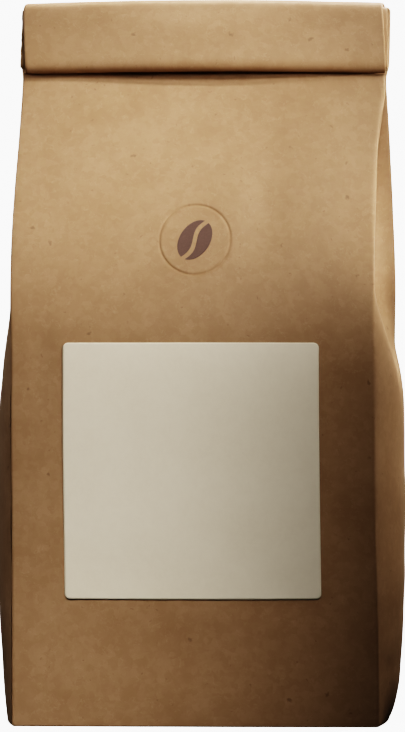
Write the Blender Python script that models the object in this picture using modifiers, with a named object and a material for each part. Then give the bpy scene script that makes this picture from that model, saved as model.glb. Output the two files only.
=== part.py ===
# A full one-pound coffee bag of kraft paper: side gussets, a block bottom, and a top that is rolled forward.
# Metres, +Z up. The origin is the middle of the base, and the front of the bag faces -Y.

import bmesh
import bpy
from math import cos, exp, log, pi, radians, sin, sqrt, tan
from mathutils import Matrix, Vector

# the flat paper bag
PANEL_WIDTH = 0.108      # front and back panels
GUSSET_WIDTH = 0.0635    # one side, laid flat
PLY = 0.0005             # two plies of paper where a crease is pressed

# the filled bag
SHOULDER = 0.119         # height at which the panels start to lean together
ROLL_FOOT = 0.2056       # height at which the panels meet
BODY_TOP = 0.2096        # the body ends here, inside the roll
MEETING_DEPTH = 0.0020   # half the depth where the panels meet
FILLED_DEPTH = 0.0306    # half the depth between creases along the filled part
SHOULDER_SOFTNESS = 0.0015
PANEL_BULGE = 0.0068     # how far a panel crowns past its creases
LEFT_BULGE = 0.0082      # how far each gusset swells past its creases
RIGHT_BULGE = 0.0075
GUSSET_FOOT_SHARE = 0.4  # the share of that swelling left at the base
GUSSET_FOOT_RISE = 0.045 # height over which the swelling grows
GABLE_HEIGHT = 0.103     # where the gusset turns inwards, at its middle
GABLE_RISE = 0.022       # how much higher it turns at the creases
GABLE_SPAN = 0.012       # half the height over which it turns
GUSSET_SLACK_SPAN = 0.02 # height above the shoulder over which the fold comes to its full depth
SKEW = 0.0074            # how far the back panel stands to the right of the front one
SKEW_HEIGHT = 0.122      # where it does so most
SKEW_REACH = 0.120       # height over which it fades, up and down
SKEW_FRONT = 0.17        # the share of it by which the front panel moves to the left
TOP_SHIFT = 0.0012       # how far the top stands to the right of the base
FOOT_INSET = 0.0008      # the folded edge round the base
FOOT_HEIGHT = 0.0014

# the rolled top, as a section across the bag
ROLL_WIDTH = 0.1095
ROLL_TOP = 0.2167
ROLL_RADIUS = 0.0048     # the fold over the top
ROLL_AXIS_Y = -0.0014
ROLL_EDGE = 0.1952       # the lower edge of the flap
ROLL_EDGE_RADIUS = 0.0021
ROLL_LEAN = radians(19)
ROLL_START = radians(35)  # how far below level the fold leaves the back of the body
ROLL_SIDE_BEVEL = 0.0015

# the label and the valve
LABEL_SIDE = 0.075
LABEL_CORNER = 0.0015
LABEL_MIDDLE = (-0.0003, 0.0757)   # x and z
LABEL_THICKNESS = 0.0004
VALVE_MIDDLE = (0.0005, 0.1436)    # x and z
VALVE_RECESS_RADIUS = 0.0112
VALVE_RECESS_DEPTH = 0.0009
VALVE_RADIUS = 0.0107
VALVE_THICKNESS = 0.0006
GAP = 0.0003             # between touching pieces

# how finely the loft is divided
PANEL_STEPS = 14
GUSSET_STEPS = 12
HEIGHT_STEP = 0.005
LABEL_STEPS = 14


def softer_minimum(a, b, softness):
    return -softness * log(exp(-a / softness) + exp(-b / softness))


def swing(value):
    """0 below -1, 1 above +1, and smooth between."""
    share = min(max((value + 1) / 2, 0), 1)
    return share * share * (3 - 2 * share)


def half_depth(height):
    """Distance of the creases from the middle plane."""
    slope = (FILLED_DEPTH - MEETING_DEPTH) / (ROLL_FOOT - SHOULDER)
    leaning = MEETING_DEPTH + slope * (ROLL_FOOT - height)
    return max(softer_minimum(FILLED_DEPTH, leaning, SHOULDER_SOFTNESS), MEETING_DEPTH)


def panel_depth(x, height):
    """Distance of a crowned panel from the middle plane."""
    rise = sin(pi * min(max(height / BODY_TOP, 0), 1)) ** 0.7
    across = 1 - (2 * x / PANEL_WIDTH) ** 2
    return half_depth(height) + PANEL_BULGE * rise * across


def drawn_in(x, height):
    """Distance of a point of a panel from its middle line; the crown takes up some of the width."""
    crown = panel_depth(0, height) - half_depth(height)
    slope = 2 * crown / PANEL_WIDTH
    return x * (1 - 2 / 3 * slope ** 2 * (2 * x / PANEL_WIDTH) ** 2)


def gusset_reach(turn, height, bulge):
    """How far a gusset stands past its creases; turn runs from -1 at the front to +1 at the back."""
    fold_in = sqrt(max((GUSSET_WIDTH / 2) ** 2 - half_depth(height) ** 2, 0))
    slack = sqrt(max((GUSSET_WIDTH / 2) ** 2 - FILLED_DEPTH ** 2, 0))
    gable = swing((height - GABLE_HEIGHT - GABLE_RISE * abs(turn)) / GABLE_SPAN)
    growth = GUSSET_FOOT_SHARE + (1 - GUSSET_FOOT_SHARE) * swing(2 * height / GUSSET_FOOT_RISE - 1)
    outwards = bulge * growth * (1 - turn ** 2)
    slack *= 1 - swing((height - SHOULDER) / GUSSET_SLACK_SPAN)
    inwards = max(fold_in - slack, 0) * (1 - abs(turn))
    return outwards * (1 - gable) - inwards * gable


def sideways(depth, height):
    """How far a point is moved to the right; depth runs from -1 at the front to +1 at the back."""
    away = min(abs(height - SKEW_HEIGHT) / SKEW_REACH, 1)
    fade = (1 + cos(pi * away)) / 2
    return SKEW * fade * ((1 + depth) / 2 - SKEW_FRONT) + TOP_SHIFT * (height / ROLL_TOP) ** 2


def gusset_points(height, bulge):
    turns = [-1 + 2 * step / GUSSET_STEPS for step in range(GUSSET_STEPS + 1)]
    crease = half_depth(height) - PLY
    edge = drawn_in(PANEL_WIDTH / 2, height)
    return [(edge + gusset_reach(turn, height, bulge), crease * turn) for turn in turns]


def outline(height):
    """The bag's section at one height, anticlockwise from its left front crease."""
    across = [PANEL_WIDTH * (step / PANEL_STEPS - 0.5) for step in range(PANEL_STEPS + 1)]
    panel = [(drawn_in(x, height), -panel_depth(x, height)) for x in across]
    points = panel + gusset_points(height, RIGHT_BULGE)
    points += [(-x, -y) for x, y in panel + gusset_points(height, LEFT_BULGE)]
    widest = max(x for x, y in points)
    deepest = max(y for x, y in points)
    inset = FOOT_INSET * (1 - min(height / FOOT_HEIGHT, 1))
    ring = []
    for x, y in points:
        moved = sideways(y / deepest, height)
        ring.append(Vector((x * (1 - inset / widest) + moved, y * (1 - inset / deepest), height)))
    return ring


def heights():
    steps = round((BODY_TOP - FOOT_HEIGHT) / HEIGHT_STEP)
    return [0] + [FOOT_HEIGHT + (BODY_TOP - FOOT_HEIGHT) * step / steps for step in range(steps + 1)]


def make_collection(name):
    collection = bpy.data.collections.new(name)
    bpy.context.scene.collection.children.link(collection)
    return collection


def make_material(name, color, roughness):
    material = bpy.data.materials.new(name)
    material.use_nodes = True
    shader = material.node_tree.nodes["Principled BSDF"]
    shader.inputs["Base Color"].default_value = (*color, 1)
    shader.inputs["Roughness"].default_value = roughness
    shader.inputs["Metallic"].default_value = 0
    return material


def add_object(name, mesh, collection, material=None):
    piece = bpy.data.objects.new(name, mesh)
    collection.objects.link(piece)
    if material:
        mesh.materials.append(material)
    return piece


def mesh_from_bmesh(name, bm):
    mesh = bpy.data.meshes.new(name)
    bm.to_mesh(mesh)
    bm.free()
    return mesh


def as_cutter(piece):
    piece.hide_render = True
    piece.display_type = "WIRE"


def boolean(piece, other, operation):
    modifier = piece.modifiers.new(operation.title(), "BOOLEAN")
    modifier.operation = operation
    modifier.solver = "EXACT"
    modifier.object = other


def make_body(collection, material):
    """The loft from the flat base to the foot of the roll."""
    bm = bmesh.new()
    rings = [[bm.verts.new(point) for point in outline(height)] for height in heights()]
    count = len(rings[0])
    for lower, upper in zip(rings, rings[1:]):
        for i in range(count):
            j = (i + 1) % count
            bm.faces.new((lower[i], lower[j], upper[j], upper[i]))
    bm.faces.new(list(reversed(rings[0])))
    bm.faces.new(rings[-1])
    return add_object("bag", mesh_from_bmesh("bag", bm), collection, material)


def arc(middle, radius, start, end, steps):
    angles = [start + (end - start) * step / steps for step in range(steps + 1)]
    return [(middle[0] + radius * cos(a), middle[1] + radius * sin(a)) for a in angles]


def make_roll(collection):
    """The folded top, drawn as its section in y and z and extruded along x."""
    top_middle = (ROLL_AXIS_Y, ROLL_TOP - ROLL_RADIUS)
    edge_z = ROLL_EDGE + ROLL_EDGE_RADIUS
    drop = top_middle[1] - edge_z
    front_y = top_middle[0] - (ROLL_RADIUS - ROLL_EDGE_RADIUS) / cos(ROLL_LEAN) - drop * tan(ROLL_LEAN)
    points = arc(top_middle, ROLL_RADIUS, -ROLL_START, pi - ROLL_LEAN, 12)
    points += arc((front_y, edge_z), ROLL_EDGE_RADIUS, pi - ROLL_LEAN, 2 * pi - ROLL_LEAN, 8)
    points += [(-0.6 * half_depth(ROLL_EDGE), ROLL_EDGE + 3 * ROLL_EDGE_RADIUS), (0, ROLL_FOOT)]

    drawing = bpy.data.curves.new("roll_section", "CURVE")
    drawing.dimensions = "2D"
    drawing.fill_mode = "BOTH"
    drawing.extrude = ROLL_WIDTH / 2
    spline = drawing.splines.new("POLY")
    spline.points.add(len(points) - 1)
    for point, (y, z) in zip(spline.points, points):
        point.co = (y, z, 0, 1)
    spline.use_cyclic_u = True
    guide = bpy.data.objects.new("roll_section", drawing)
    collection.objects.link(guide)
    # the section's own x, y and z run along the bag's y, z and x
    guide.matrix_world = Matrix(((0, 0, 1, TOP_SHIFT), (1, 0, 0, 0), (0, 1, 0, 0), (0, 0, 0, 1)))
    bpy.context.view_layer.update()

    mesh = bpy.data.meshes.new_from_object(guide.evaluated_get(bpy.context.evaluated_depsgraph_get()))
    bm = bmesh.new()
    bm.from_mesh(mesh)
    bmesh.ops.remove_doubles(bm, verts=bm.verts, dist=0.00001)
    bmesh.ops.recalc_face_normals(bm, faces=bm.faces)
    bm.to_mesh(mesh)
    bm.free()
    roll = add_object("roll", mesh, collection)
    roll.matrix_world = guide.matrix_world
    bpy.data.objects.remove(guide)
    bevel = roll.modifiers.new("Bevel", "BEVEL")
    bevel.width = ROLL_SIDE_BEVEL
    bevel.segments = 3
    bevel.angle_limit = radians(50)
    as_cutter(roll)
    return roll


def front_point(x, height, out=0):
    return Vector((drawn_in(x, height) + sideways(-1, height), -panel_depth(x, height) - out, height))


def valve_frame():
    """The middle of the valve on the paper, with local z pointing out of the bag."""
    reach = VALVE_RADIUS / 2
    x, z = VALVE_MIDDLE
    up = front_point(x, z + reach) - front_point(x, z - reach)
    across = Vector((1, 0, 0))
    up.normalize()
    out = across.cross(up)
    turn = Matrix((across, up, out)).transposed().to_4x4()
    return Matrix.Translation(front_point(x, z)) @ turn


def make_disc(name, radius, low, high, collection, material=None):
    """A disc about the valve's axis, from one height to another along it."""
    bm = bmesh.new()
    place = Matrix.Translation((0, 0, (low + high) / 2))
    bmesh.ops.create_cone(bm, cap_ends=True, segments=48, radius1=radius, radius2=radius,
                          depth=high - low, matrix=place)
    disc = add_object(name, mesh_from_bmesh(name, bm), collection, material)
    disc.matrix_world = valve_frame()
    return disc


def make_label(collection, cutters, material):
    """A square of paper that lies on the crowned front, trimmed to its rounded corners."""
    bm = bmesh.new()
    bmesh.ops.create_grid(bm, x_segments=LABEL_STEPS, y_segments=LABEL_STEPS, size=0.51 * LABEL_SIDE)
    for vertex in bm.verts:
        x = LABEL_MIDDLE[0] + vertex.co.x
        vertex.co = front_point(x, LABEL_MIDDLE[1] + vertex.co.y, GAP)
    label = add_object("label", mesh_from_bmesh("label", bm), collection, material)
    solidify = label.modifiers.new("Solidify", "SOLIDIFY")
    solidify.thickness = LABEL_THICKNESS
    solidify.offset = 1

    bm = bmesh.new()
    bmesh.ops.create_cube(bm, size=LABEL_SIDE)
    upright = [edge for edge in bm.edges if abs(edge.verts[0].co.y - edge.verts[1].co.y) > LABEL_SIDE / 2]
    bmesh.ops.bevel(bm, geom=upright, offset=LABEL_CORNER, segments=4, profile=0.5, affect="EDGES")
    trim = add_object("label_trim", mesh_from_bmesh("label_trim", bm), cutters)
    trim.location = (LABEL_MIDDLE[0], -FILLED_DEPTH, LABEL_MIDDLE[1])
    as_cutter(trim)
    boolean(label, trim, "INTERSECT")
    return label


def shade_round(piece, angle):
    piece.data.shade_smooth()
    piece.data.set_sharp_from_angle(angle=angle)


def main():
    for old in list(bpy.data.objects):
        bpy.data.objects.remove(old)
    parts = make_collection("coffee_bag")
    cutters = make_collection("cutters")
    kraft = make_material("kraft_paper", (0.46, 0.31, 0.17), 0.85)
    white = make_material("label_paper", (0.72, 0.66, 0.55), 0.75)
    pressed = make_material("valve_paper", (0.44, 0.29, 0.16), 0.8)

    bag = make_body(parts, kraft)
    boolean(bag, make_roll(cutters), "UNION")
    recess = make_disc("valve_recess", VALVE_RECESS_RADIUS, -VALVE_RECESS_DEPTH, PANEL_BULGE, cutters)
    as_cutter(recess)
    boolean(bag, recess, "DIFFERENCE")
    label = make_label(parts, cutters, white)
    low = GAP - VALVE_RECESS_DEPTH
    valve = make_disc("valve", VALVE_RADIUS, low, low + VALVE_THICKNESS, parts, pressed)
    for piece in (bag, label, valve):
        shade_round(piece, radians(35))


main()
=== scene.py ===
from math import cos, pi, radians, sin, sqrt

import bmesh
import bpy
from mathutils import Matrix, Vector


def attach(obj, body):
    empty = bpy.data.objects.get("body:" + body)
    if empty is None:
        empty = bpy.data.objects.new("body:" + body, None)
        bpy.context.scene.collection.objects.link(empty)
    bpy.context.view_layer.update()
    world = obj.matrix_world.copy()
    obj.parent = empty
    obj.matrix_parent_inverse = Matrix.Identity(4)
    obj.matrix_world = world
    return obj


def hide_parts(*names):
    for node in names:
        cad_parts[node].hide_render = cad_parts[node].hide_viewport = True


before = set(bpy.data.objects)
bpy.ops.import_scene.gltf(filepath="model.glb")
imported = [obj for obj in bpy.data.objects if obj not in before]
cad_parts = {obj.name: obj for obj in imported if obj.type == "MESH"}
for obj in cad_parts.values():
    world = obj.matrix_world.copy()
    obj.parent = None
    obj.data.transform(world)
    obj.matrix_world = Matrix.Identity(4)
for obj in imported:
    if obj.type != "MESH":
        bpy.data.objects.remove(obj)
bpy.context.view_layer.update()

# A full kraft paper coffee bag. The paper is one folded tube, made by Geometry Nodes from the sizes below,
# and the label, the valve and the print are laid on its front by the same rule. Metres, +Z up, front at -Y.

mm = 0.001


class Wire:
    # an output socket; arithmetic on it adds Math nodes to its tree
    def __init__(self, graph, socket):
        self.graph = graph
        self.socket = socket

    def math(self, operation, *others):
        sockets = dict(enumerate((self,) + others))
        return self.graph.add("ShaderNodeMath", {"operation": operation}, sockets)

    def __add__(self, other):
        return self.math("ADD", other)

    def __radd__(self, other):
        return self.math("ADD", other)

    def __sub__(self, other):
        return self.math("SUBTRACT", other)

    def __rsub__(self, other):
        return self.graph.number(other).math("SUBTRACT", self)

    def __mul__(self, other):
        return self.math("MULTIPLY", other)

    def __rmul__(self, other):
        return self.math("MULTIPLY", other)

    def __truediv__(self, other):
        return self.math("DIVIDE", other)

    def __pow__(self, other):
        return self.math("POWER", other)

    def __neg__(self):
        return self.math("MULTIPLY", -1)

    def __abs__(self):
        return self.math("ABSOLUTE")

    def __gt__(self, other):
        return self.math("GREATER_THAN", other)

    def clamp(self):
        return self.graph.add("ShaderNodeClamp", None, {0: self})

    def atLeast(self, other):
        return self.math("MAXIMUM", other)

    def atMost(self, other):
        return self.math("MINIMUM", other)

    def root(self):
        return self.atLeast(0.0).math("SQRT")

    def bell(self):
        # 1 at 0, falling off to both sides
        return (-(self * self)).math("EXPONENT")

    def rise(self, start, end):
        # 0 before start, 1 past end, and smooth between
        share = ((self - start) / (end - start)).clamp()
        return share * share * (3 - 2 * share)

    def out(self, name):
        return Wire(self.graph, self.socket.node.outputs[name])


class Graph:
    def __init__(self, tree):
        self.tree = tree
        tree.nodes.clear()

    def add(self, kind, settings=None, sockets=None, output=0):
        # the one way nodes are made: type, settings, socket values or links
        node = self.tree.nodes.new(kind)
        for name, value in (settings or {}).items():
            if name == "curve":
                points = node.mapping.curves[0].points
                while len(points) < len(value):
                    points.new(0.5, 0.5)
                for point, place in zip(points, value):
                    point.location = place
                node.mapping.update()
            else:
                setattr(node, name, value)
        for key, value in (sockets or {}).items():
            if isinstance(value, Wire):
                self.tree.links.new(value.socket, node.inputs[key])
            elif value is not None:
                node.inputs[key].default_value = value
        return Wire(self, node.outputs[output]) if len(node.outputs) else None

    def number(self, value):
        return self.add("ShaderNodeMath", {"operation": "ADD"}, {0: value, 1: 0.0})

    def vector(self, x, y, z):
        return self.add("ShaderNodeCombineXYZ", None, {0: x, 1: y, 2: z})

    def parts(self, vector):
        split = self.add("ShaderNodeSeparateXYZ", None, {0: vector})
        return split.out("X"), split.out("Y"), split.out("Z")

    def length(self, x, y):
        flat = self.vector(x, y, 0.0)
        return self.add("ShaderNodeVectorMath", {"operation": "LENGTH"}, {0: flat}, output=1)

    def along(self, vector, operation, other):
        return self.add("ShaderNodeVectorMath", {"operation": operation}, {0: vector, 1: other})

    def profile(self, share, values):
        # a smooth curve through (share, value) pairs, all from 0 to 1
        return self.add("ShaderNodeFloatCurve", {"curve": values}, {"Value": share})

    def noise(self, place, scale, detail=2.0, roughness=0.5, distortion=0.0):
        settings = {"noise_dimensions": "3D", "normalize": True}
        sockets = {"Vector": place, "Scale": scale, "Detail": detail, "Roughness": roughness,
                   "Distortion": distortion}
        return self.add("ShaderNodeTexNoise", settings, sockets)

    def blendColor(self, share, first, second, mode="MIX"):
        # sockets 0, 6 and 7 are the factor and the two colours
        settings = {"data_type": "RGBA", "blend_type": mode, "clamp_factor": True}
        return self.add("ShaderNodeMix", settings, {0: share, 6: first, 7: second}, output=2)


bagSizes = {
    "Panel width": 0.108,
    "Gusset width": 0.0635,
    "Filled half depth": 0.0306,   # half the depth between creases where the bag is full
    "Pressed half depth": 0.0010,  # half the thickness where it is pressed flat
    "Shoulder height": 0.119,      # the panels lean together above this
    "Meeting height": 0.2056,      # and meet here
    "Panel crown": 0.0068,         # how far a panel bows out past its creases
    "Left gable": 0.104,           # the left gusset turns inwards above this
    "Right gable": 0.1015,
    "Left ease": 0.024,            # the turn is this soft
    "Right ease": 0.014,
    "Gable rise": 0.021,           # the turn is this much higher at the creases
    "Gable slant": 0.008,          # and still higher at the front one, on the right
    "Skew": 0.0074,                # the back stands this far to the right of the front
    "Flap bow": 0.0024,            # how far the flap stands off at its middle
    "Left roll": 0.0008,           # radius of the creases
    "Right roll": 0.0015,
    "Relief": 0.00035,             # soft waves of the paper
}

# how far each gusset swells past its creases, in millimetres, at heights in millimetres
leftSwell = ((0, 3.2), (7, 4.1), (21, 5.3), (36, 6.6), (65, 7.7), (94, 8.4), (200, 8.4))
rightSwell = ((0, 3.4), (3.2, 4.8), (7, 5.7), (14, 6.6), (36, 7.7), (60, 7.3), (94, 6.0), (200, 5.4))
tallestSwell = 200           # their largest height
widestSwell = 10             # and no swell is above this

rollShape = {
    "top": 0.2167,
    "topRadius": 0.0023,     # of the middle of the pressed tube, over the top
    "edge": 0.1952,          # the flap's lower edge
    "edgeRadius": 0.0018,
    "startLean": radians(26),  # how far the flap leans out at its top
    "endLean": radians(8),   # and at its edge
    "innerLength": 0.0155,   # the hidden leg inside the flap
    "innerLean": radians(20),  # how far that leg leans back
    "spreadLeft": 0.0006,    # how far the paper behind the flap stands out, left and right
    "spreadRight": 0.0009,
    "flapLeft": 0.0009,      # and the flap itself
    "crown": 0.0007,         # the top edge drops by this much to its ends
    "shift": 0.0012,         # the top stands this far to the right of the base
    "bowHeight": 0.018,      # the flap's bow is full this far below the turn
    "bowIn": 0.4,            # its ends turn in by this share of the bow
    "shutFrom": 0.197,       # the folded gussets are pressed shut between these heights
    "shutTo": 0.207,
    "shutPower": 9.0,
    "leastOpen": 0.08,       # this share of their depth stays open
    "edgeGrain": 0.004,      # how far the paper's grain runs on round the flap's edge
}

footShape = {
    "radius": 0.0006,        # the paper turns under the bag on this radius
    "halfWidth": 0.060,
    "halfDepth": 0.032,
    "hollow": 0.0006,        # the base stands this far off the floor inside its rim
}

shoulderShape = {
    "lowerEase": 0.006,      # how softly the panels start to lean together
    "upperEase": 0.0015,     # and how softly they meet
    "crownFrom": -0.004,     # the crown grows between these heights
    "crownTo": 0.070,
    "crownPower": 0.7,
    "flatFrom": 0.1346,      # and dies away between these
    "flatTo": 0.2016,
    "leastCrown": 0.0003,
    "takenUp": 0.45,         # share of the crown's curve that the panel's width loses
}

creaseShape = {
    "tightShare": 0.35,      # the right crease's radius below tightTo, as a share of the radius above
    "tightTo": 0.132,
    "fullFrom": 0.160,
    "pressedDepth": 0.0015,  # creases are half as round at this half depth
    "bow": 0.0011,           # the left front crease bows out by this much
    "bowHeight": 0.143,
    "bowReach": 0.026,
    "drawn": 0.0003,         # draws in by this much between these heights
    "drawnFrom": 0.150,
    "drawnTo": 0.190,
    "stepOut": 0.0004,       # and stands out by this much below them
    "stepFrom": 0.080,
    "stepTo": 0.120,
    "spread": 0.0020,        # the right front crease spreads by this much under the roll
    "spreadFrom": 0.168,
    "spreadTo": 0.192,
}

skewShape = {"height": 0.122, "reach": 0.120, "frontShare": 0.17}

gableShape = {
    "slackFade": 0.02,       # the full bag's slack is gone this far past the shoulder
    "softShare": 0.6,        # this share of the turn is soft, the rest is a sharp fold
    "sharpEase": 0.003,
    "pleat": 0.0003,         # the gusset's middle line stands out this far
    "pleatSlope": 14,
    "pleatFrom": 0.10,       # and is gone between these heights
    "pleatTo": 0.12,
}

reliefShape = {
    "wavesPerMetre": 42.0,
    "waves": 2.4,
    "crumplesPerMetre": 130.0,
    "crumples": 0.7,
    "leftInRoll": 0.25,      # this share of the relief is left in the roll
}

# rows of faces in each stretch of the tube, and columns in each side
rowCounts = {"base": 9, "foot": 5, "body": 190, "top": 18, "flap": 20, "edge": 12, "inner": 14, "mouth": 1}
panelColumns = 112
gussetColumns = 56
panelCrowding = 0.72         # how far the columns crowd to the creases
gussetCrowding = 0.60

# soft hollows (negative) and swellings of the front: x, height, width, height of the spot, depth
frontDents = (
    (0.021, 0.150, 0.007, 0.020, -0.0011),
    (0.0125, 0.151, 0.0045, 0.018, 0.0005),
    (-0.0440, 0.158, 0.006, 0.013, -0.0008),
    (-0.0450, 0.103, 0.0045, 0.020, -0.0006),
    (-0.0260, 0.176, 0.018, 0.012, 0.0007),
    (0.036, 0.172, 0.010, 0.018, 0.0006),
    (0.040, 0.095, 0.010, 0.030, -0.0007),
    (-0.010, 0.020, 0.030, 0.010, -0.0005),
)


def sizeInputs(graph):
    # named inputs of the tree, and the wires that carry them
    tree = graph.tree
    tree.interface.new_socket("Geometry", in_out="INPUT", socket_type="NodeSocketGeometry")
    for name, value in bagSizes.items():
        socket = tree.interface.new_socket(name, in_out="INPUT", socket_type="NodeSocketFloat")
        socket.default_value = value
    tree.interface.new_socket("Geometry", in_out="OUTPUT", socket_type="NodeSocketGeometry")
    source = graph.add("NodeGroupInput")
    return source, {name: source.out(name) for name in bagSizes}


def halfDepth(size, height):
    slope = (size["Filled half depth"] - size["Pressed half depth"]) / (
        size["Meeting height"] - size["Shoulder height"])
    leaning = size["Pressed half depth"] + slope * (size["Meeting height"] - height)
    shoulder = leaning.math("SMOOTH_MIN", size["Filled half depth"], shoulderShape["lowerEase"])
    return shoulder.math("SMOOTH_MAX", size["Pressed half depth"], shoulderShape["upperEase"])


def panelCrown(size, height):
    lower = height.rise(shoulderShape["crownFrom"], shoulderShape["crownTo"]) ** shoulderShape["crownPower"]
    upper = 1 - height.rise(shoulderShape["flatFrom"], shoulderShape["flatTo"])
    return size["Panel crown"] * lower * upper + shoulderShape["leastCrown"]


def creaseRadius(size, onRight, depth, height):
    # creases tighten where the bag is pressed flat, the right one along its filled part too
    tight = creaseShape["tightShare"]
    share = tight + (1 - tight) * height.rise(creaseShape["tightTo"], creaseShape["fullFrom"])
    radius = size["Left roll"] * (1 - onRight) + size["Right roll"] * onRight * share
    return radius * depth / (depth + creaseShape["pressedDepth"])


def edgeRoll(size, across, depth, height):
    # a panel turns into its crease on a quarter circle; across runs from -1 to 1
    radius = creaseRadius(size, across > 0.0, depth, height)
    inward = (1 - abs(across)) * size["Panel width"] / 2
    left = (1 - inward / radius).clamp()
    return radius * (1 - (1 - left * left).root())


def frontDent(graph, x, height):
    total = graph.number(0.0)
    for middleX, middleZ, width, tall, depth in frontDents:
        away = ((x - middleX) / width) ** 2 + ((height - middleZ) / tall) ** 2
        total = total + depth * (-away).math("EXPONENT")
    return total


def creasePush(across, height):
    # how far the front panel's two edges stand out past their straight lines
    shape = creaseShape
    pushed = shape["bow"] * ((height - shape["bowHeight"]) / shape["bowReach"]).bell()
    pushed = pushed - shape["drawn"] * height.rise(shape["drawnFrom"], shape["drawnTo"])
    pushed = pushed + shape["stepOut"] * (1 - height.rise(shape["stepFrom"], shape["stepTo"]))
    spread = shape["spread"] * height.rise(shape["spreadFrom"], shape["spreadTo"])
    onLeft = (1 - across) / 2
    onRight = (1 + across) / 2
    return spread * onRight ** 3 - pushed * onLeft ** 3


def sideways(size, depthShare, height):
    # depthShare runs from -1 at the front to 1 at the back
    away = (abs(height - skewShape["height"]) / skewShape["reach"]).atMost(1.0)
    fade = (1 + (away * pi).math("COSINE")) / 2
    topward = height / rollShape["top"]
    skewed = size["Skew"] * fade * ((1 + depthShare) / 2 - skewShape["frontShare"])
    return skewed + rollShape["shift"] * topward * topward


def paperRelief(graph, size, place):
    # broad waves and a finer crumple
    broad = graph.noise(place, reliefShape["wavesPerMetre"], 1.0).out("Fac") - 0.5
    fine = graph.noise(place, reliefShape["crumplesPerMetre"], 2.0).out("Fac") - 0.5
    return size["Relief"] * (reliefShape["waves"] * broad + reliefShape["crumples"] * fine)


def drawnIn(size, across, crown):
    # the width a crowned panel loses to its own curve, as a factor on x
    share = 2 * crown / size["Panel width"]
    return 1 - shoulderShape["takenUp"] * share * share * across * across


def frontSurface(graph, size, x, height, out):
    # a point of the front panel, moved out of the paper by out
    across = 2 * x / size["Panel width"]
    crown = panelCrown(size, height)
    edgeDepth = halfDepth(size, height)
    depth = edgeDepth + crown * (1 - across * across)
    depth = depth + frontDent(graph, x, height) - edgeRoll(size, across, edgeDepth, height)
    x = x * drawnIn(size, across, crown) + creasePush(across, height)
    base = graph.vector(x, -1 * depth, height)
    lifted = depth + paperRelief(graph, size, base) + out
    return graph.vector(x + sideways(size, -1.0, height), -1 * lifted, height)


def gussetReach(size, turn, height, swell, gableHeight, ease, slant):
    # how far a gusset stands past its creases; turn runs from -1 at the front to 1 at the back
    halfWidth = size["Gusset width"] / 2
    depth = halfDepth(size, height)
    foldIn = (halfWidth * halfWidth - depth * depth).root()
    full = size["Filled half depth"]
    slack = (halfWidth * halfWidth - full * full).root()
    fade = gableShape["slackFade"]
    slack = slack * (1 - (height - size["Shoulder height"]).rise(-fade, fade))
    past = height - (gableHeight + size["Gable rise"] * abs(turn) - slant * turn)
    soft = gableShape["softShare"]
    sharp = gableShape["sharpEase"]
    gable = soft * past.rise(-1 * ease, ease) + (1 - soft) * past.rise(-sharp, sharp)
    outwards = swell * (1 - turn * turn)
    inwards = (foldIn - slack).atLeast(0.0) * (1 - abs(turn))
    return outwards * (1 - gable) - inwards * gable


def crowded(share, strength):
    # from -1 to 1, closer together towards the creases
    return (1 - strength) * share + strength * (share * (pi / 2)).math("SINE")


def turnSpine(share, length, fromAngle, toAngle):
    # an arc of the spine: its share walked so far gives the steps in y and z
    radius = length / (toAngle - fromAngle)
    angle = fromAngle + share * (toAngle - fromAngle)
    stepY = radius * (angle.math("COSINE") - cos(fromAngle))
    stepZ = radius * (angle.math("SINE") - sin(fromAngle))
    return stepY, stepZ


class Rows:
    # the rows of the tube, in the stretches that rowCounts names
    def __init__(self, row):
        self.row = row
        self.starts = {}
        start = 0
        for name, rows in rowCounts.items():
            self.starts[name] = start
            start += rows

    def walked(self, name):
        # 0 before the stretch, 1 past it
        return ((self.row - self.starts[name]) / rowCounts[name]).clamp()

    def near(self, name, before, after):
        # from 0 to 1 round the start of the stretch, counted in rows
        return (self.row - self.starts[name]).rise(before, after)


def tubeSpine(rows):
    # straight up, over the top, down the flap, round its edge and up inside
    radius, edgeRadius = rollShape["topRadius"], rollShape["edgeRadius"]
    pressed = bagSizes["Pressed half depth"]
    turnHeight = rollShape["top"] - radius - pressed
    startAngle = pi - rollShape["startLean"]
    endAngle = pi - rollShape["endLean"]
    lastAngle = 2 * pi - rollShape["innerLean"]
    topLength = radius * startAngle
    flapDrop = turnHeight + radius * sin(startAngle) - rollShape["edge"] - edgeRadius - pressed
    flapLength = flapDrop / cos((rollShape["startLean"] + rollShape["endLean"]) / 2)
    foot = footShape["radius"]
    height = foot * rows.walked("foot") + (turnHeight - foot) * rows.walked("body")
    topY, topZ = turnSpine(rows.walked("top"), topLength, 0.0, startAngle)
    flapY, flapZ = turnSpine(rows.walked("flap"), flapLength, startAngle, endAngle)
    edgeY, edgeZ = turnSpine(rows.walked("edge"), edgeRadius * pi, endAngle, endAngle + pi)
    innerStep = rollShape["innerLength"] * rows.walked("inner")
    angle = rows.walked("top") * startAngle + rows.walked("flap") * (endAngle - startAngle)
    angle = angle + rows.walked("edge") * pi + rows.walked("inner") * (lastAngle - endAngle - pi)
    length = height + topLength * rows.walked("top") + flapLength * rows.walked("flap")
    return {
        "y": topY + flapY + edgeY + innerStep * sin(rollShape["innerLean"]),
        "z": height + topZ + flapZ + edgeZ + innerStep * cos(rollShape["innerLean"]),
        "height": height,
        "turnHeight": turnHeight,
        "normalY": angle.math("COSINE"),
        "normalZ": angle.math("SINE"),
        "length": length + rollShape["edgeGrain"] * rows.walked("edge") + innerStep,
    }


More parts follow.
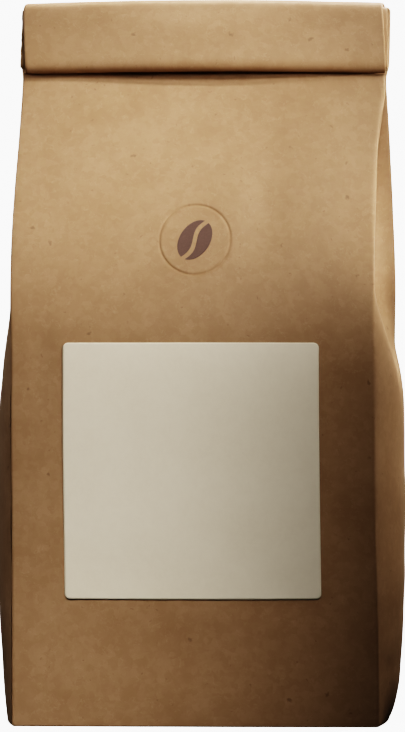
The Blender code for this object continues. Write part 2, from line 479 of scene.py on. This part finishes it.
def columnPlace(column):
    # front panel and right gusset, then the same turned half round
    half = panelColumns + gussetColumns
    onBack = column > (half + 0.5)
    local = column - onBack * half
    return {
        "onBack": onBack,
        "onFront": 1 - onBack,
        "onGusset": local > (panelColumns + 0.5),
        "across": crowded(2 * local.atMost(float(panelColumns)) / panelColumns - 1, panelCrowding),
        "turn": crowded(2 * (local - panelColumns).atLeast(0.0) / gussetColumns - 1, gussetCrowding),
        "sign": 1 - 2 * onBack,
    }


def panelSection(graph, size, rows, spine, around):
    # the panel's distance from the middle plane; the front one has dents and a hollow under the valve
    across, height = around["across"], spine["height"]
    x = size["Panel width"] / 2 * across
    inBody = 1 - rows.near("top", -4.0, 2.0)
    depth = halfDepth(size, height)
    crown = panelCrown(size, height) * (1 - across * across)
    dent = frontDent(graph, x, height) * around["onFront"]
    away = graph.length(x - valveSizes["x"], height - valveSizes["height"])
    hollow = valveSizes["hollow"] * (1 - away.rise(valveSizes["hollowFrom"], valveSizes["hollowTo"]))
    panel = depth + crown + dent * inBody - edgeRoll(size, across * around["sign"], depth, height)
    return panel - hollow * around["onFront"] * inBody, depth + crown


def gussetSection(graph, size, spine, around):
    # the gusset's reach past its creases, and how far it stands before or behind the middle plane
    turn, height = around["turn"], spine["height"]
    onLeft, onRight = around["onBack"], around["onFront"]
    swells = []
    for table in (leftSwell, rightSwell):
        points = [(up / tallestSwell, out / widestSwell) for up, out in table]
        swells.append(widestSwell * mm * graph.profile(height / (tallestSwell * mm), points))
    swell = swells[0] * onLeft + swells[1] * onRight
    gableHeight = size["Left gable"] * onLeft + size["Right gable"] * onRight
    ease = size["Left ease"] * onLeft + size["Right ease"] * onRight
    reach = gussetReach(size, turn, height, swell, gableHeight, ease, size["Gable slant"] * onRight)
    pleat = gableShape["pleat"] * (1 - (abs(turn) * gableShape["pleatSlope"]).atMost(1.0))
    reach = reach + pleat * (1 - height.rise(gableShape["pleatFrom"], gableShape["pleatTo"]))
    # in the roll the folded gusset is pressed shut
    least = rollShape["leastOpen"]
    power = rollShape["shutPower"] * height.rise(rollShape["shutFrom"], rollShape["shutTo"])
    gap = least + (1 - least) * abs(turn) ** power
    depth = halfDepth(size, height)
    return reach, (depth - creaseRadius(size, onRight, depth, height)) * turn * gap


def tubeSection(graph, size, rows, spine, around):
    # the outline of the tube at each height: x, and n along the spine's normal
    across, turn, sign = around["across"], around["turn"], around["sign"]
    onGusset, height = around["onGusset"], spine["height"]
    halfWidth = size["Panel width"] / 2
    panel, fullDepth = panelSection(graph, size, rows, spine, around)
    reach, gusset = gussetSection(graph, size, spine, around)
    crown = panelCrown(size, height)
    panelX = halfWidth * across * drawnIn(size, across, crown)
    gussetX = halfWidth * drawnIn(size, 1.0, crown) + reach
    x = (panelX * (1 - onGusset) + gussetX * onGusset) * sign
    atLeft = creasePush(graph.number(-1.0), height) * around["onBack"] * ((turn + 1) / 2)
    atRight = creasePush(graph.number(1.0), height) * around["onFront"] * ((1 - turn) / 2)
    x = x + creasePush(across, height) * (1 - onGusset) * around["onFront"] + (atLeft + atRight) * onGusset
    n = (-1 * panel * (1 - onGusset) + gusset * onGusset) * sign
    # the paper's waves move a panel in and out and a gusset from side to side
    flatPlace = graph.vector(x, n * spine["normalY"] + spine["y"], n * spine["normalZ"] + spine["z"])
    left = 1 - (1 - reliefShape["leftInRoll"]) * rows.near("top", -8.0, 0.0)
    relief = paperRelief(graph, size, flatPlace) * sign * left
    return x + relief * onGusset, n - relief * (1 - onGusset), fullDepth


def closeFoot(rows, x, n):
    # the rounded foot, the closed base and the closed mouth
    footLeft = 1 - rows.walked("foot")
    inset = footShape["radius"] * (1 - (1 - footLeft * footLeft).root())
    opened = (1 - (1 - rows.walked("base")) ** 2.5) * (1 - rows.walked("mouth"))
    hollow = footShape["hollow"] * (1 - opened).rise(0.02, 0.10) * footLeft
    x = x * (1 - inset / footShape["halfWidth"])
    return x, n * (1 - inset / footShape["halfDepth"]) * opened, hollow


def rollSpread(rows, height, sideShare):
    # the roll's layers stand out a little at both ends
    growth = height.rise(rollShape["edge"] - 0.0015, rollShape["edge"] + 0.001)
    growth = growth * (1 - rows.walked("top").rise(0.15, 0.75))
    leftwards = sideShare.atMost(0.0)
    behind = rollShape["spreadRight"] * sideShare.atLeast(0.0) + rollShape["spreadLeft"] * leftwards
    return growth * behind + rows.walked("top").rise(0.4, 1.0) * rollShape["flapLeft"] * leftwards


def flapBow(size, rows, spine, sideShare):
    bow = size["Flap bow"] * ((spine["turnHeight"] - spine["z"]) / rollShape["bowHeight"]).clamp()
    bow = bow * rows.walked("top").rise(0.5, 1.0)
    inwards = rollShape["bowIn"]
    return bow * ((1 + inwards) * (1 - sideShare * sideShare).atLeast(0.0) ** 2.5 - inwards)


def storePaperPlace(graph, geometry, roundTube, alongTube):
    settings = {"data_type": "FLOAT_VECTOR", "domain": "POINT"}
    sockets = {"Geometry": geometry, "Name": "paperPlace", "Value": graph.vector(roundTube, alongTube, 0.0)}
    return graph.add("GeometryNodeStoreNamedAttribute", settings, sockets)


def finishTree(graph, geometry, material):
    smooth = graph.add("GeometryNodeSetShadeSmooth", None, {"Geometry": geometry})
    real = graph.add("GeometryNodeRealizeInstances", None, {"Geometry": smooth})
    painted = graph.add("GeometryNodeSetMaterial", None, {"Geometry": real, "Material": material})
    graph.add("NodeGroupOutput", None, {"Geometry": painted})


def bagTree(material):
    tree = bpy.data.node_groups.new("foldedPaperTube", "GeometryNodeTree")
    graph = Graph(tree)
    size = sizeInputs(graph)[1]
    totalRows = sum(rowCounts.values())
    totalColumns = 2 * (panelColumns + gussetColumns)
    grid = graph.add("GeometryNodeMeshGrid", None, {
        "Size X": 1.0, "Size Y": 1.0, "Vertices X": totalColumns + 1, "Vertices Y": totalRows + 1})
    gridX, gridY = graph.parts(graph.add("GeometryNodeInputPosition"))[:2]
    around = columnPlace(((gridX + 0.5) * totalColumns).math("ROUND"))
    rows = Rows(((gridY + 0.5) * totalRows).math("ROUND"))
    spine = tubeSpine(rows)
    x, n, fullDepth = tubeSection(graph, size, rows, spine, around)
    x, n, hollow = closeFoot(rows, x, n)
    sideShare = x / (size["Panel width"] / 2)
    depthShare = n / fullDepth.atLeast(0.0005)
    x = x + rollSpread(rows, spine["height"], sideShare) + sideways(size, depthShare, spine["z"])
    drop = rollShape["crown"] * rows.near("top", -12.0, 6.0) * sideShare * sideShare
    y = spine["y"] + n * spine["normalY"] - flapBow(size, rows, spine, sideShare)
    z = spine["z"] + n * spine["normalZ"] + hollow - drop

    # paper coordinates for the fibres: round the tube and along it
    onPanel = size["Panel width"] / 2 * (around["across"] + 1) * (1 - around["onGusset"])
    pastPanel = (size["Panel width"] + size["Gusset width"] / 2 * (around["turn"] + 1)) * around["onGusset"]
    onHalf = around["onBack"] * (size["Panel width"] + size["Gusset width"])
    stored = storePaperPlace(graph, grid, onHalf + onPanel + pastPanel, spine["length"])
    place = graph.vector(x, y, z)
    moved = graph.add("GeometryNodeSetPosition", None, {"Geometry": stored, "Position": place})
    merged = graph.add("GeometryNodeMergeByDistance", None, {"Geometry": moved, "Distance": 0.000002})
    # round the creases over a millimetre or so
    softer = graph.add("GeometryNodeBlurAttribute", {"data_type": "FLOAT_VECTOR"}, {
        "Value": graph.add("GeometryNodeInputPosition"), "Iterations": 2, "Weight": 0.8})
    rounded = graph.add("GeometryNodeSetPosition", None, {"Geometry": merged, "Position": softer})
    finishTree(graph, rounded, material)
    return tree


def layTree(name, material, offsetRule):
    # lays a flat mesh, drawn in x and z, on the front of the bag
    tree = bpy.data.node_groups.new(name, "GeometryNodeTree")
    graph = Graph(tree)
    source, size = sizeInputs(graph)
    x, z = graph.parts(graph.add("GeometryNodeInputPosition"))[::2]
    place = frontSurface(graph, size, x, z, offsetRule(graph, x, z))
    stored = storePaperPlace(graph, source, x + bagSizes["Panel width"] / 2, z)
    moved = graph.add("GeometryNodeSetPosition", None, {"Geometry": stored, "Position": place})
    finishTree(graph, moved, material)
    return tree


def emptyMesh(name):
    piece = bpy.data.objects.new(name, bpy.data.meshes.new(name))
    bpy.context.scene.collection.objects.link(piece)
    return piece


def keepResult(piece):
    # keeps what the modifiers make as a plain mesh
    bpy.context.view_layer.update()
    evaluated = piece.evaluated_get(bpy.context.evaluated_depsgraph_get())
    mesh = bpy.data.meshes.new_from_object(evaluated)
    piece.modifiers.clear()
    piece.data = mesh
    mesh.name = piece.name
    return mesh


def bake(piece, tree, material):
    # runs the tree with the bag's sizes
    modifier = piece.modifiers.new("Shape", "NODES")
    modifier.node_group = tree
    for item in tree.interface.items_tree:
        if item.in_out == "INPUT" and item.name in bagSizes:
            modifier[item.identifier] = bagSizes[item.name]
    piece.update_tag()
    mesh = keepResult(piece)
    mesh.materials.clear()
    mesh.materials.append(material)
    return piece


def thicken(piece, thickness):
    # gives a laid sheet its thickness, half to each side, with a closed rim
    solidify = piece.modifiers.new("Thickness", "SOLIDIFY")
    solidify.thickness = thickness
    solidify.offset = 0.0
    solidify.use_even_offset = True
    keepResult(piece)
    return piece


def newMaterial(name):
    material = bpy.data.materials.new(name)
    material.use_nodes = True
    return material, Graph(material.node_tree)


def paperShader(graph, finish, color, roughness, height):
    bump = graph.add("ShaderNodeBump", None, {
        "Strength": finish["bumpStrength"], "Distance": finish["bumpDistance"], "Height": height})
    shader = graph.add("ShaderNodeBsdfPrincipled", None, {
        "Base Color": color, "Roughness": roughness, "Specular IOR Level": finish["gloss"], "Normal": bump})
    graph.add("ShaderNodeOutputMaterial", None, {"Surface": shader})


kraftFinish = {
    "pale": (0.424, 0.266, 0.155, 1),
    "body": (0.369, 0.225, 0.127, 1),
    "deep": (0.322, 0.190, 0.102, 1),
    "fibre": (0.500, 0.335, 0.207, 1),
    "olive": (0.342, 0.218, 0.112, 1),
    "speck": (0.140, 0.078, 0.040, 1),
    "roughness": 0.60,
    "roughnessVaries": 0.1,
    "gloss": 0.22,
    "bumpDistance": 0.00008,
    "bumpStrength": 0.25,
    "warp": 0.0026,         # flocks, fibres and specks are pushed about by up to this
    "fibreWidth": 0.020,    # in steps of the noise that they follow
    "darkFibreWidth": 0.018,
    "darkFibreStart": (3.1, 1.7, 2.3),  # dark fibres follow the noise at another place
    "grain": (420.0, 1300.0, 1.0),      # streaks in a metre, round the tube and along it
    "seamAt": 0.3265,       # round the tube, in the left gusset near the back
    "seamWidth": 0.009,
    "seamLine": 0.00035,
}

# how many of each there are in a metre
kraftScales = {
    "clouds": 38.0,
    "blotches": 150.0,
    "warp": 520.0,
    "flocks": 560.0,
    "fibres": 330.0,
    "fibreBreaks": 240.0,
    "specks": 170.0,
}

# how strongly each layer tints the paper under it
kraftShares = {
    "blotch": 0.50,
    "paleFlock": 0.34,
    "darkFlock": 0.38,
    "olive": 0.35,
    "paleFibre": 0.24,
    "darkFibre": 0.34,
    "streak": 0.25,
    "seamStrip": 0.30,
    "seamLine": 0.55,
}

# bark specks of two sizes: how many times finer, share of cells left empty, radius in cells, strength
kraftSpecks = ((1.0, 0.80, 0.16, 0.50), (2.4, 0.84, 0.19, 0.32))

# what the small bumps are made of
kraftBumps = {"fibre": 0.5, "streak": 0.5, "flock": 0.4, "blotch": 0.5, "seam": 2.5}


def fibreLines(graph, place, scale, halfWidth):
    # thin wandering lines where a warped noise crosses its middle value
    field = graph.noise(place, scale, 1.5, 0.5, 0.9).out("Fac")
    return 1 - (abs(field - 0.5) / halfWidth).clamp()


def makeKraft(name, finish):
    material, graph = newMaterial(name)
    scales, shares, bumps = kraftScales, kraftShares, kraftBumps
    place = graph.add("ShaderNodeTexCoord").out("Object")
    sheet = graph.add("ShaderNodeAttribute", {"attribute_name": "paperPlace"}).out("Vector")
    clouds = graph.noise(place, scales["clouds"], 3.0, 0.55).out("Fac").rise(0.32, 0.68)
    blotch = graph.noise(place, scales["blotches"], 3.0, 0.6, 0.4).out("Fac").rise(0.30, 0.72)
    # pulp flocks with ragged edges
    warp = graph.noise(place, scales["warp"], 2.0, 0.6).out("Color")
    bent = graph.along(place, "ADD", graph.along(warp, "MULTIPLY", (finish["warp"],) * 3))
    flocks = graph.add("ShaderNodeTexVoronoi", {"feature": "SMOOTH_F1"}, {
        "Vector": bent, "Scale": scales["flocks"], "Smoothness": 0.45, "Randomness": 1.0})
    flockTone, flockHue = graph.parts(flocks.out("Color"))[:2]
    # pale and dark fibres, in broken lengths
    broken = graph.noise(place, scales["fibreBreaks"], 2.0, 0.5).out("Fac")
    paleFibre = fibreLines(graph, bent, scales["fibres"], finish["fibreWidth"])
    paleFibre = paleFibre * broken.rise(0.44, 0.56)
    darkPlace = graph.along(bent, "ADD", finish["darkFibreStart"])
    darkFibre = fibreLines(graph, darkPlace, scales["fibres"], finish["darkFibreWidth"])
    darkFibre = darkFibre * (1 - broken.rise(0.44, 0.54))
    # the sheet's faint grain along the tube
    streaks = graph.noise(graph.along(sheet, "MULTIPLY", finish["grain"]), 1.0, 3.0, 0.6, 0.8).out("Fac")
    color = graph.blendColor(clouds, finish["deep"], finish["body"])
    for share, tint in (
        (blotch * shares["blotch"], "pale"),
        (flockTone.rise(0.45, 1.0) * shares["paleFlock"], "pale"),
        ((1 - flockTone.rise(0.0, 0.55)) * shares["darkFlock"], "deep"),
        (flockHue * shares["olive"], "olive"),
        (paleFibre * shares["paleFibre"], "fibre"),
        (darkFibre * shares["darkFibre"], "deep"),
        ((1 - streaks.rise(0.22, 0.46)) * shares["streak"], "deep"),
    ):
        color = graph.blendColor(share, color, finish[tint])
    for finer, empty, radius, share in kraftSpecks:
        dots = graph.add("ShaderNodeTexVoronoi", {"feature": "F1"}, {
            "Vector": bent, "Scale": scales["specks"] * finer, "Randomness": 1.0})
        kept = graph.parts(dots.out("Color"))[0] > empty
        speck = (1 - dots.out("Distance").rise(radius * 0.3, radius)) * kept
        color = graph.blendColor(speck * share, color, finish["speck"])
    # the glued seam: the upper ply ends in a thin line, and the paste has darkened the strip
    past = graph.parts(sheet)[0] - finish["seamAt"]
    line = 1 - (abs(past) / finish["seamLine"]).clamp()
    strip = past.rise(0.0, 0.0004) * (1 - past.rise(finish["seamWidth"], finish["seamWidth"] + 0.001))
    color = graph.blendColor(strip * shares["seamStrip"], color, finish["deep"])
    color = graph.blendColor(line * shares["seamLine"], color, finish["speck"])
    roughness = finish["roughness"] + finish["roughnessVaries"] * (blotch - 0.5)
    bumpy = paleFibre * bumps["fibre"] + streaks * bumps["streak"]
    bumpy = bumpy + flockTone * bumps["flock"] + blotch * bumps["blotch"]
    bumpy = bumpy - bumps["seam"] * past.rise(-0.0002, 0.0002)
    paperShader(graph, finish, color, roughness, bumpy)
    return material


labelFinish = {
    "pale": (0.871, 0.754, 0.574, 1),
    "deep": (0.831, 0.712, 0.534, 1),
    "roughness": 0.62,
    "roughnessVaries": 0.08,
    "gloss": 0.35,
    "bumpDistance": 0.00004,
    "bumpStrength": 0.3,
    "cloudsPerMetre": 60.0,
    "flocksPerMetre": 330.0,
    "finePerMetre": 1100.0,
    "cloudShare": 0.6,      # the rest of the mottling is flocks
    "fineShare": 0.35,
}


def makeLabelPaper(name, finish):
    material, graph = newMaterial(name)
    place = graph.add("ShaderNodeTexCoord").out("Object")
    clouds = graph.noise(place, finish["cloudsPerMetre"], 3.0, 0.5).out("Fac").rise(0.3, 0.7)
    fine = graph.noise(place, finish["finePerMetre"], 3.0, 0.6).out("Fac")
    flocks = graph.noise(place, finish["flocksPerMetre"], 3.0, 0.6, 0.6).out("Fac").rise(0.35, 0.65)
    mottling = clouds * finish["cloudShare"] + flocks * (1 - finish["cloudShare"])
    color = graph.blendColor(mottling, finish["deep"], finish["pale"])
    color = graph.blendColor(fine.rise(0.35, 0.65) * finish["fineShare"], color, finish["pale"])
    roughness = finish["roughness"] + finish["roughnessVaries"] * (fine - 0.5)
    paperShader(graph, finish, color, roughness, fine)
    return material


inkFinish = {
    "tone": (0.122, 0.072, 0.054, 1),
    "worn": (0.135, 0.080, 0.060, 1),
    "roughness": 0.7,
    "roughnessVaries": 0.1,
    "gloss": 0.3,
    "bumpDistance": 0.00003,
    "bumpStrength": 0.3,
    "finePerMetre": 1800.0,
}


def makeInk(name, finish):
    material, graph = newMaterial(name)
    place = graph.add("ShaderNodeTexCoord").out("Object")
    fine = graph.noise(place, finish["finePerMetre"], 3.0, 0.6).out("Fac")
    color = graph.blendColor(fine.rise(0.4, 0.7), finish["tone"], finish["worn"])
    roughness = finish["roughness"] + finish["roughnessVaries"] * (fine - 0.5)
    paperShader(graph, finish, color, roughness, fine)
    return material


valveSizes = {
    "x": 0.0005,
    "height": 0.1436,
    "ring": 0.0104,        # radius of the pressed ring
    "groove": 0.00042,     # half its width
    "depth": 0.00038,
    "out": 0.00005,        # the patch stands this far off the paper
    "skirtFrom": 0.012,    # and dips under it outside this radius
    "skirt": 0.0001,
    "reach": 0.016,        # the patch runs out into the paper
    "hollow": 0.0005,      # the paper under the patch
    "hollowFrom": 0.0115,
    "hollowTo": 0.0145,
    "rings": 84,
    "spokes": 120,
}


def valveOffset(graph, x, z):
    radius = graph.length(x - valveSizes["x"], z - valveSizes["height"])
    groove = valveSizes["depth"] * ((radius - valveSizes["ring"]) / valveSizes["groove"]).bell()
    skirt = valveSizes["skirt"] * radius.rise(valveSizes["skirtFrom"], valveSizes["reach"])
    return valveSizes["out"] - skirt - groove


def joinRows(bm, rows, turned):
    # fills neighbouring rows of points with faces, turned over if asked
    for lower, upper in zip(rows, rows[1:]):
        for i in range(len(lower) - 1):
            second, last = (upper[i], lower[i + 1]) if turned else (lower[i + 1], upper[i])
            bm.faces.new((lower[i], second, upper[i + 1], last))


def valveRadii():
    # half the rings are spread evenly, the others crowd at the groove
    count = valveSizes["rings"]
    ring, groove = valveSizes["ring"], valveSizes["groove"]
    even = [valveSizes["reach"] * 2 * (i + 1) / count for i in range(count // 2)]
    close = [ring + 3 * groove * (4 * (i + 0.37) / count - 1) for i in range(count // 2)]
    return sorted(even + close)


def buildValve(material):
    piece = emptyMesh("valveFace")
    bm = bmesh.new()
    middleX, middleZ, count = valveSizes["x"], valveSizes["height"], valveSizes["spokes"]
    centre = bm.verts.new((middleX, 0, middleZ))
    angles = [2 * pi * spoke / count for spoke in range(count)]
    rings = []
    for radius in valveRadii():
        places = [(middleX + radius * cos(a), 0, middleZ + radius * sin(a)) for a in angles]
        rings.append([bm.verts.new(place) for place in places])
    for i in range(count):
        bm.faces.new((centre, rings[0][i], rings[0][(i + 1) % count]))
    joinRows(bm, [ring + ring[:1] for ring in rings], True)
    bm.to_mesh(piece.data)
    bm.free()
    return bake(piece, layTree("valveLay", material, valveOffset), material)


beanSizes = {
    "long": 0.0064,        # half the length of the bean
    "short": 0.00446,      # half its width
    "tilt": radians(32),   # to the right of upright
    "split": 0.0013,       # width of the parting line
    "sway": 0.00085,       # how far that line sways to each side
    "out": 0.00008,        # the middle of the ink stands this far off the paper
    "thickness": 0.00004,
    "rows": 48,
    "columns": 10,
}


def beanEdges(side, place):
    # the parting line and the rim at this place along the bean
    rim = side * beanSizes["short"] * sqrt(max(1 - (place / beanSizes["long"]) ** 2, 0))
    parting = -beanSizes["sway"] * sin(pi * place / beanSizes["long"]) + side * beanSizes["split"] / 2
    return parting, rim


def beanTip(side, outside):
    # halves the way to the place where the parting line meets the rim
    inside = 0.0
    for halving in range(40):
        middle = (inside + outside) / 2
        parting, rim = beanEdges(side, middle)
        isOpen = side * (rim - parting) > 0
        inside, outside = (middle, outside) if isOpen else (inside, middle)
    return inside


def beanHalf(bm, side):
    # side -1 is the left half, 1 the right half; rows run along the bean
    low, high = beanTip(side, -beanSizes["long"]), beanTip(side, beanSizes["long"])
    tilt = beanSizes["tilt"]
    rows = []
    for row in range(beanSizes["rows"] + 1):
        place = (low + high) / 2 - (high - low) / 2 * cos(pi * row / beanSizes["rows"])
        parting, rim = beanEdges(side, place)
        line = []
        for column in range(beanSizes["columns"] + 1):
            across = parting + (rim - parting) * column / beanSizes["columns"]
            x = across * cos(tilt) + place * sin(tilt)
            z = -across * sin(tilt) + place * cos(tilt)
            line.append(bm.verts.new((valveSizes["x"] + x, 0, valveSizes["height"] + z)))
        rows.append(line)
    joinRows(bm, rows, side < 0)


def buildBean(material):
    piece = emptyMesh("beanPrint")
    bm = bmesh.new()
    beanHalf(bm, -1)
    beanHalf(bm, 1)
    bmesh.ops.remove_doubles(bm, verts=bm.verts, dist=0.00001)
    bm.to_mesh(piece.data)
    bm.free()
    tree = layTree("beanLay", material, lambda graph, x, z: graph.number(beanSizes["out"]))
    bake(piece, tree, material)
    return thicken(piece, beanSizes["thickness"])


labelSizes = {
    "side": 0.0753,
    "corner": 0.0016,
    "middleX": -0.0003,
    "middleZ": 0.0756,
    "thickness": 0.00022,
    "out": 0.00022,        # its middle stands this far off the paper
    "lift": 0.00025,       # how far its left edge has come away
    "lowerLift": 0.6,      # and its lower edge, as a share of that
    "liftWidth": 0.006,    # over this width
    "cells": 84,
    "crowding": 0.45,      # how strongly the cells crowd towards its edges
}


def labelOffset(graph, x, z):
    half = labelSizes["side"] / 2
    fromLeft = x - (labelSizes["middleX"] - half)
    fromBottom = z - (labelSizes["middleZ"] - half)
    curl = 1 - fromLeft.rise(0.0, labelSizes["liftWidth"])
    curl = curl + labelSizes["lowerLift"] * (1 - fromBottom.rise(0.0, labelSizes["liftWidth"]))
    return labelSizes["out"] + labelSizes["lift"] * curl


def roundCorner(x, z, half, corner):
    # pulls a square's corner cell in to a quarter circle
    overX = max(abs(x) - (half - corner), 0)
    overZ = max(abs(z) - (half - corner), 0)
    if overX and overZ:
        pull = max(overX, overZ) / sqrt(overX * overX + overZ * overZ)
        x = (half - corner + overX * pull) * (1 if x > 0 else -1)
        z = (half - corner + overZ * pull) * (1 if z > 0 else -1)
    return x, z


def buildLabel(material):
    piece = emptyMesh("labelSheet")
    half = labelSizes["side"] / 2
    cells = labelSizes["cells"]
    crowding = labelSizes["crowding"]
    places = []
    for step in range(cells + 1):
        even = 2 * step / cells - 1
        places.append(half * ((1 - crowding) * even + crowding / 2 * even * (3 - even * even)))
    bm = bmesh.new()
    columns = []
    for across in places:
        column = []
        for up in places:
            x, z = roundCorner(across, up, half, labelSizes["corner"])
            column.append(bm.verts.new((labelSizes["middleX"] + x, 0, labelSizes["middleZ"] + z)))
        columns.append(column)
    joinRows(bm, columns, True)
    bm.to_mesh(piece.data)
    bm.free()
    bake(piece, layTree("labelLay", material, labelOffset), material)
    return thicken(piece, labelSizes["thickness"])


baseFlaps = {
    "halfWidth": 0.0510,
    "halfDepth": 0.0275,
    "pastMiddle": 0.006,     # each flap ends this far past the middle
    "frontLevel": 0.00042,
    "backLevel": 0.00018,
    "backRise": 0.0002,      # the back one starts this much higher
    "backEase": 0.012,       # and comes down over this depth
    "thickness": 0.0002,
    "cells": 24,
}


def buildBaseFlaps(material):
    # the two glued flaps under the bag, the back one over the front one
    piece = emptyMesh("baseFlaps")
    bm = bmesh.new()
    cells = baseFlaps["cells"]
    for side in (-1, 1):
        rows = []
        for row in range(cells + 1):
            inward = (baseFlaps["halfDepth"] + baseFlaps["pastMiddle"]) * row / cells
            y = side * (baseFlaps["halfDepth"] - inward)
            halfWidth = baseFlaps["halfWidth"] - inward
            raised = baseFlaps["backRise"] * max(1 - inward / baseFlaps["backEase"], 0)
            z = baseFlaps["frontLevel"] if side < 0 else baseFlaps["backLevel"] + raised
            rows.append([bm.verts.new((halfWidth * (2 * i / cells - 1), y, z)) for i in range(cells + 1)])
        joinRows(bm, rows, side < 0)
    bm.to_mesh(piece.data)
    bm.free()
    piece.data.materials.append(material)
    return thicken(piece, baseFlaps["thickness"])


kraft = makeKraft("kraftPaper", kraftFinish)
labelPaper = makeLabelPaper("labelPaper", labelFinish)
ink = makeInk("brownInk", inkFinish)
print("materials made")

bag = bake(emptyMesh("bagPaper"), bagTree(kraft), kraft)
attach(bag, "root")
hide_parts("bag")
print("bag folded:", len(bag.data.polygons), "faces")

flaps = buildBaseFlaps(kraft)
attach(flaps, "root")

valve = buildValve(kraft)
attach(valve, "root")
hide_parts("valve")

bean = buildBean(ink)
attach(bean, "root")

label = buildLabel(labelPaper)
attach(label, "root")
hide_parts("label")
print("label, valve and print laid")


studio = {
    "camera": (0.0384, -1.1350, 0.1064),
    "target": (0.00105, 0.0, 0.1064),
    "lens": 184.52459,       # millimetres
    "sensor": 36,
    "middle": (0.0, -0.03, 0.11),     # the softboxes stand round this point
    "floorSize": 4.0,
    "floorGlow": 2.8,
    "backdrop": 3.4,         # how bright the empty studio looks
    "ambient": 0.013,        # and how much light it gives
}


def buildStage():
    bm = bmesh.new()
    bmesh.ops.create_grid(bm, x_segments=1, y_segments=1, size=studio["floorSize"])
    mesh = bpy.data.meshes.new("studioFloor")
    bm.to_mesh(mesh)
    bm.free()
    floor = bpy.data.objects.new("studioFloor", mesh)
    bpy.context.scene.collection.objects.link(floor)
    material, graph = newMaterial("studioWhite")
    shader = graph.add("ShaderNodeBsdfPrincipled", None, {
        "Base Color": (0.9, 0.9, 0.9, 1), "Roughness": 0.9,
        "Emission Color": (1, 1, 1, 1), "Emission Strength": studio["floorGlow"]})
    graph.add("ShaderNodeOutputMaterial", None, {"Surface": shader})
    mesh.materials.append(material)
    # its own glow keeps it pale, and none of that glow falls on the bag
    floor.visible_diffuse = False
    floor.visible_glossy = False


# softboxes, a metre off: bearing (0 is the front, 90 the right) and height in degrees, the spot each points
# at, its side, its beam in degrees and its power
softboxes = (
    ("frontHigh", (40, 28), (-0.045, -0.03, 0.160), 0.10, 8, 0.0190),
    ("frontMiddle", (-38, 25), (-0.005, -0.03, 0.110), 0.10, 8, 0.0072),
    ("leftLow", (5, 30), (-0.045, -0.03, 0.015), 0.10, 8, 0.0229),
    ("middleLow", (5, 30), (-0.005, -0.03, 0.015), 0.10, 8, 0.0062),
    ("rightHigh", (5, 30), (0.035, -0.03, 0.192), 0.10, 8, 0.0145),
    ("leftTop", (30, 45), (-0.060, -0.03, 0.203), 0.10, 6, 0.0080),
    ("leftHigh", (28, 45), (-0.045, -0.03, 0.160), 0.10, 8, 0.0150),
    ("overRight", (28, 45), (0.035, -0.03, 0.190), 0.10, 8, 0.0085),
    ("sideRight", (75, 8), (0.055, -0.01, 0.200), 0.08, 6, 0.0220),
    ("gableRight", (72, 5), (0.058, 0, 0.140), 0.03, 3.6, 0.0072),
    ("lowRight", (85, 30), (0.058, 0, 0.088), 0.06, 7, 0.0048),
    ("rollLeft", (-55, 25), (-0.058, -0.02, 0.205), 0.05, 4, 0.0010),
    ("gableLeft", (-105, 35), (-0.055, 0.005, 0.165), 0.05, 5, 0.0100),
    ("topBack", (135, 61), (0.0, 0.0, 0.205), 0.12, 20, 0.35),
    ("backLeft", (-145, 28), (-0.02, 0.02, 0.110), 0.30, 60, 0.50),
    ("backRight", (165, 32), (0.02, 0.02, 0.110), 0.30, 60, 0.30),
)


def pointAt(thing, target):
    thing.rotation_euler = (Vector(target) - thing.location).to_track_quat("-Z", "Y").to_euler()


def buildSoftbox(name, place, target, side, beam, watts):
    data = bpy.data.lights.new(name, "AREA")
    data.shape = "SQUARE"
    data.size = side
    data.energy = watts
    data.spread = radians(beam)
    lamp = bpy.data.objects.new(name, data)
    bpy.context.scene.collection.objects.link(lamp)
    bearing, rise = radians(place[0]), radians(place[1])
    middle = Vector(studio["middle"])
    lamp.location = middle + Vector((cos(rise) * sin(bearing), -cos(rise) * cos(bearing), sin(rise)))
    pointAt(lamp, target)


def buildWorld():
    world = bpy.data.worlds.new("studioWorld")
    bpy.context.scene.world = world
    world.use_nodes = True
    graph = Graph(world.node_tree)
    seen = graph.add("ShaderNodeLightPath").out("Is Camera Ray")
    strength = seen * studio["backdrop"] + (1 - seen) * studio["ambient"]
    light = graph.add("ShaderNodeBackground", None, {"Color": (1, 1, 1, 1), "Strength": strength})
    graph.add("ShaderNodeOutputWorld", None, {"Surface": light})


def buildCamera():
    lens = bpy.data.cameras.new("portrait")
    camera = bpy.data.objects.new("portrait", lens)
    bpy.context.scene.collection.objects.link(camera)
    camera.location = studio["camera"]
    pointAt(camera, studio["target"])
    lens.sensor_width = studio["sensor"]
    lens.lens = studio["lens"]
    bpy.context.scene.camera = camera


buildStage()
for softbox in softboxes:
    buildSoftbox(*softbox)
buildWorld()
bpy.context.scene.view_settings.view_transform = "Filmic"
bpy.context.scene.view_settings.look = "Very High Contrast"
buildCamera()
print("stage lit")
